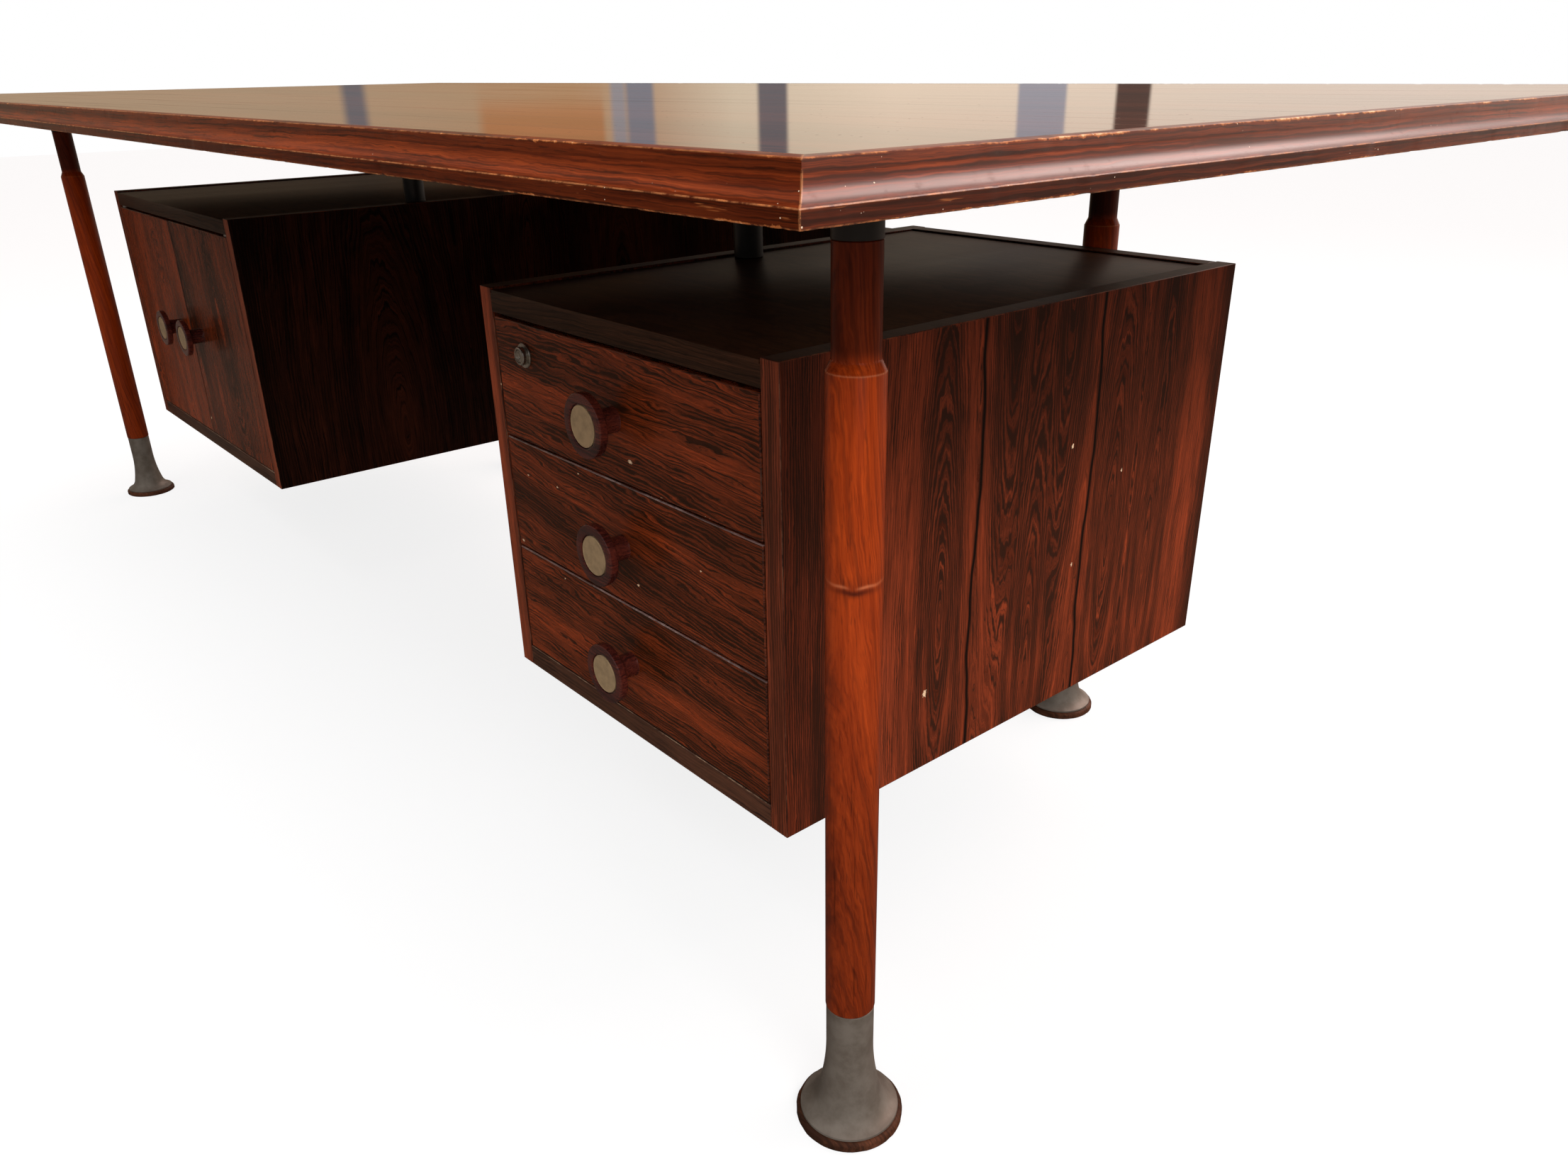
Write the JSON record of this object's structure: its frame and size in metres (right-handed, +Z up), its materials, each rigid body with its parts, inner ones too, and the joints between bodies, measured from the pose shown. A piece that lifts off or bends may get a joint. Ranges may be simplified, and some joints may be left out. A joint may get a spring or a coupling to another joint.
{
  "type": "executive desk",
  "caption": "Long wooden executive desk on turned legs with metal feet, with a drawer unit and a cupboard unit hung below a coved-edge top, and a modesty panel.",
  "frame": {"origin": "on the floor, under the middle of the top", "axes": "+X along the desk, to the sitter's right; +Y away from the sitter; +Z up"},
  "size_m": [2.494, 1.066, 0.76],
  "materials": {
    "dark_gloss_wood": "dark rosewood veneer under a high gloss lacquer",
    "moulding_wood": "red-brown rosewood, glossy, worn to orange and straw along its arrises",
    "turned_wood": "turned rosewood, satin lacquer",
    "gunmetal": "matt gunmetal grey",
    "pad_wood": "dark red-brown, matt",
    "black_steel": "black, satin",
    "steel": "zinc plated",
    "side_veneer": "rosewood veneer, upright grain, satin",
    "dark_satin_wood": "dark brown veneer, satin",
    "front_veneer": "striped rosewood veneer, satin",
    "inner_wood": "plain light hardwood, waxed",
    "knob_wood": "dark red polished wood",
    "champagne_metal": "brushed, champagne coloured",
    "nickel": "nickel plated"
  },
  "bodies": {
    "root": {"desktop_panel": "dark_gloss_wood", "edge_moulding_front": "moulding_wood", "edge_moulding_right": "moulding_wood", "edge_moulding_rear": "moulding_wood", "edge_moulding_left": "moulding_wood", "leg_front_right": "turned_wood", "leg_front_left": "turned_wood", "leg_rear_right": "turned_wood", "leg_rear_left": "turned_wood", "foot_front_right": "gunmetal", "foot_front_left": "gunmetal", "foot_rear_right": "gunmetal", "foot_rear_left": "gunmetal", "foot_pads": "pad_wood", "leg_collars": "black_steel", "mounting_flanges": "black_steel", "post_right": "black_steel", "post_left": "black_steel", "flange_screws": "steel", "frame_bolts": "steel", "saddle_washers": "steel", "door_pivots": "steel", "drawer_unit_kneehole_side": "side_veneer", "drawer_unit_outer_side": "side_veneer", "drawer_unit_back": "side_veneer", "drawer_unit_lid": "dark_satin_wood", "drawer_unit_bottom": "dark_satin_wood", "cupboard_unit_kneehole_side": "side_veneer", "cupboard_unit_outer_side": "side_veneer", "cupboard_unit_back": "side_veneer", "cupboard_unit_lid": "dark_satin_wood", "cupboard_unit_bottom": "dark_satin_wood", "modesty_panel": "side_veneer", "modesty_dowels": "inner_wood", "drawer_runners": "inner_wood", "cupboard_shelf": "inner_wood"},
    "drawer_1": {"drawer_1_front": "front_veneer", "drawer_1_box": "inner_wood", "drawer_1_bottom": "inner_wood", "drawer_1_knob": "knob_wood", "drawer_1_knob_inlay": "champagne_metal", "lock_housing": "nickel"},
    "drawer_2": {"drawer_2_front": "front_veneer", "drawer_2_box": "inner_wood", "drawer_2_bottom": "inner_wood", "drawer_2_knob": "knob_wood", "drawer_2_knob_inlay": "champagne_metal"},
    "drawer_3": {"drawer_3_front": "front_veneer", "drawer_3_box": "inner_wood", "drawer_3_bottom": "inner_wood", "drawer_3_knob": "knob_wood", "drawer_3_knob_inlay": "champagne_metal"},
    "lock": {"lock_barrel": "nickel", "lock_cam": "nickel"},
    "outer_door": {"outer_door": "front_veneer", "outer_door_knob": "knob_wood", "outer_door_knob_inlay": "champagne_metal"},
    "kneehole_door": {"kneehole_door": "front_veneer", "kneehole_door_knob": "knob_wood", "kneehole_door_knob_inlay": "champagne_metal"}
  },
  "joints": [
    {"name": "drawer_1_slide", "type": "slide", "parent": "root", "child": "drawer_1", "axis": [0, -1, 0], "range_m": [0, 0.4]},
    {"name": "drawer_2_slide", "type": "slide", "parent": "root", "child": "drawer_2", "axis": [0, -1, 0], "range_m": [0, 0.4]},
    {"name": "drawer_3_slide", "type": "slide", "parent": "root", "child": "drawer_3", "axis": [0, -1, 0], "range_m": [0, 0.4]},
    {"name": "lock_turn", "type": "hinge", "parent": "drawer_1", "child": "lock", "pos_m": [0.56, -0.278, 0.5405], "axis": [0, -1, 0], "range_deg": [0, 90]},
    {"name": "outer_door_hinge", "type": "hinge", "parent": "root", "child": "outer_door", "pos_m": [-0.898, -0.272, 0.39], "axis": [0, 0, -1], "range_deg": [0, 105]},
    {"name": "kneehole_door_hinge", "type": "hinge", "parent": "root", "child": "kneehole_door", "pos_m": [-0.323, -0.272, 0.39], "axis": [0, 0, 1], "range_deg": [0, 105]}
  ]
}
